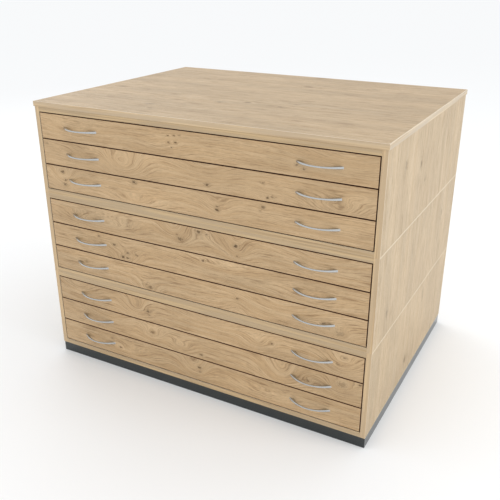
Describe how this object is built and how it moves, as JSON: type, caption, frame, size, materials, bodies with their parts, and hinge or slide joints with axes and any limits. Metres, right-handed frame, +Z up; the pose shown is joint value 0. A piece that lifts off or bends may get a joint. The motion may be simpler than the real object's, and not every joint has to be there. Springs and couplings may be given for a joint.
{
  "type": "flat file cabinet",
  "caption": "Low wide plan chest in rustic oak-effect board: stacked modules of shallow full-width drawers with slim bow handles, a worktop and a dark recessed plinth.",
  "frame": {"origin": "on the floor, under the centre of the whole cabinet's box, handles included, with every drawer shut", "axes": "+X to the right seen from the front, +Y to the back, +Z up; the drawers open along -Y"},
  "size_m": [1.306, 1, 1.024],
  "materials": {
    "oak_board": "rustic oak-effect melamine board, satin, long straight grain with knots",
    "drawer_board": "pale birch-effect board, satin",
    "back_board": "thin pale fibreboard, smooth face",
    "plinth_laminate": "dark slate laminate, satin",
    "dowel_beech": "plain turned beech",
    "handle_steel": "satin brushed steel",
    "runner_steel": "bright zinc-plated pressed steel",
    "fitting_zinc": "die-cast zinc, dull"
  },
  "bodies": {
    "cabinet": {"worktop": "oak_board", "upper_left_side": "oak_board", "upper_right_side": "oak_board", "upper_boards": "oak_board", "middle_left_side": "oak_board", "middle_right_side": "oak_board", "middle_boards": "oak_board", "lower_left_side": "oak_board", "lower_right_side": "oak_board", "lower_boards": "oak_board", "back_panels": "back_board", "plinth": "plinth_laminate", "locating_dowels": "dowel_beech", "cam_fittings": "fitting_zinc", "cabinet_runners": "runner_steel"},
    "drawer_1": {"drawer_1_front": "oak_board", "drawer_1_box": "drawer_board", "drawer_1_handles": "handle_steel", "drawer_1_runners": "runner_steel"},
    "runner_1": {"middle_runners_1": "runner_steel"},
    "drawer_2": {"drawer_2_front": "oak_board", "drawer_2_box": "drawer_board", "drawer_2_handles": "handle_steel", "drawer_2_runners": "runner_steel"},
    "runner_2": {"middle_runners_2": "runner_steel"},
    "drawer_3": {"drawer_3_front": "oak_board", "drawer_3_box": "drawer_board", "drawer_3_handles": "handle_steel", "drawer_3_runners": "runner_steel"},
    "runner_3": {"middle_runners_3": "runner_steel"},
    "drawer_4": {"drawer_4_front": "oak_board", "drawer_4_box": "drawer_board", "drawer_4_handles": "handle_steel", "drawer_4_runners": "runner_steel"},
    "runner_4": {"middle_runners_4": "runner_steel"},
    "drawer_5": {"drawer_5_front": "oak_board", "drawer_5_box": "drawer_board", "drawer_5_handles": "handle_steel", "drawer_5_runners": "runner_steel"},
    "runner_5": {"middle_runners_5": "runner_steel"},
    "drawer_6": {"drawer_6_front": "oak_board", "drawer_6_box": "drawer_board", "drawer_6_handles": "handle_steel", "drawer_6_runners": "runner_steel"},
    "runner_6": {"middle_runners_6": "runner_steel"},
    "drawer_7": {"drawer_7_front": "oak_board", "drawer_7_box": "drawer_board", "drawer_7_handles": "handle_steel", "drawer_7_runners": "runner_steel"},
    "runner_7": {"middle_runners_7": "runner_steel"},
    "drawer_8": {"drawer_8_front": "oak_board", "drawer_8_box": "drawer_board", "drawer_8_handles": "handle_steel", "drawer_8_runners": "runner_steel"},
    "runner_8": {"middle_runners_8": "runner_steel"},
    "drawer_9": {"drawer_9_front": "oak_board", "drawer_9_box": "drawer_board", "drawer_9_handles": "handle_steel", "drawer_9_runners": "runner_steel"},
    "runner_9": {"middle_runners_9": "runner_steel"}
  },
  "joints": [
    {"name": "drawer_1_slide", "type": "slide", "parent": "cabinet", "child": "drawer_1", "axis": [0, -1, 0], "range_m": [0, 0.8]},
    {"name": "runner_1_slide", "type": "slide", "parent": "cabinet", "child": "runner_1", "axis": [0, -1, 0], "range_m": [0, 0.4]},
    {"name": "drawer_2_slide", "type": "slide", "parent": "cabinet", "child": "drawer_2", "axis": [0, -1, 0], "range_m": [0, 0.8]},
    {"name": "runner_2_slide", "type": "slide", "parent": "cabinet", "child": "runner_2", "axis": [0, -1, 0], "range_m": [0, 0.4]},
    {"name": "drawer_3_slide", "type": "slide", "parent": "cabinet", "child": "drawer_3", "axis": [0, -1, 0], "range_m": [0, 0.8]},
    {"name": "runner_3_slide", "type": "slide", "parent": "cabinet", "child": "runner_3", "axis": [0, -1, 0], "range_m": [0, 0.4]},
    {"name": "drawer_4_slide", "type": "slide", "parent": "cabinet", "child": "drawer_4", "axis": [0, -1, 0], "range_m": [0, 0.8]},
    {"name": "runner_4_slide", "type": "slide", "parent": "cabinet", "child": "runner_4", "axis": [0, -1, 0], "range_m": [0, 0.4]},
    {"name": "drawer_5_slide", "type": "slide", "parent": "cabinet", "child": "drawer_5", "axis": [0, -1, 0], "range_m": [0, 0.8]},
    {"name": "runner_5_slide", "type": "slide", "parent": "cabinet", "child": "runner_5", "axis": [0, -1, 0], "range_m": [0, 0.4]},
    {"name": "drawer_6_slide", "type": "slide", "parent": "cabinet", "child": "drawer_6", "axis": [0, -1, 0], "range_m": [0, 0.8]},
    {"name": "runner_6_slide", "type": "slide", "parent": "cabinet", "child": "runner_6", "axis": [0, -1, 0], "range_m": [0, 0.4]},
    {"name": "drawer_7_slide", "type": "slide", "parent": "cabinet", "child": "drawer_7", "axis": [0, -1, 0], "range_m": [0, 0.8]},
    {"name": "runner_7_slide", "type": "slide", "parent": "cabinet", "child": "runner_7", "axis": [0, -1, 0], "range_m": [0, 0.4]},
    {"name": "drawer_8_slide", "type": "slide", "parent": "cabinet", "child": "drawer_8", "axis": [0, -1, 0], "range_m": [0, 0.8]},
    {"name": "runner_8_slide", "type": "slide", "parent": "cabinet", "child": "runner_8", "axis": [0, -1, 0], "range_m": [0, 0.4]},
    {"name": "drawer_9_slide", "type": "slide", "parent": "cabinet", "child": "drawer_9", "axis": [0, -1, 0], "range_m": [0, 0.8]},
    {"name": "runner_9_slide", "type": "slide", "parent": "cabinet", "child": "runner_9", "axis": [0, -1, 0], "range_m": [0, 0.4]}
  ],
  "couplings": [
    {"joint": "runner_1_slide", "follows": "drawer_1_slide", "ratio": 0.5},
    {"joint": "runner_2_slide", "follows": "drawer_2_slide", "ratio": 0.5},
    {"joint": "runner_3_slide", "follows": "drawer_3_slide", "ratio": 0.5},
    {"joint": "runner_4_slide", "follows": "drawer_4_slide", "ratio": 0.5},
    {"joint": "runner_5_slide", "follows": "drawer_5_slide", "ratio": 0.5},
    {"joint": "runner_6_slide", "follows": "drawer_6_slide", "ratio": 0.5},
    {"joint": "runner_7_slide", "follows": "drawer_7_slide", "ratio": 0.5},
    {"joint": "runner_8_slide", "follows": "drawer_8_slide", "ratio": 0.5},
    {"joint": "runner_9_slide", "follows": "drawer_9_slide", "ratio": 0.5}
  ]
}
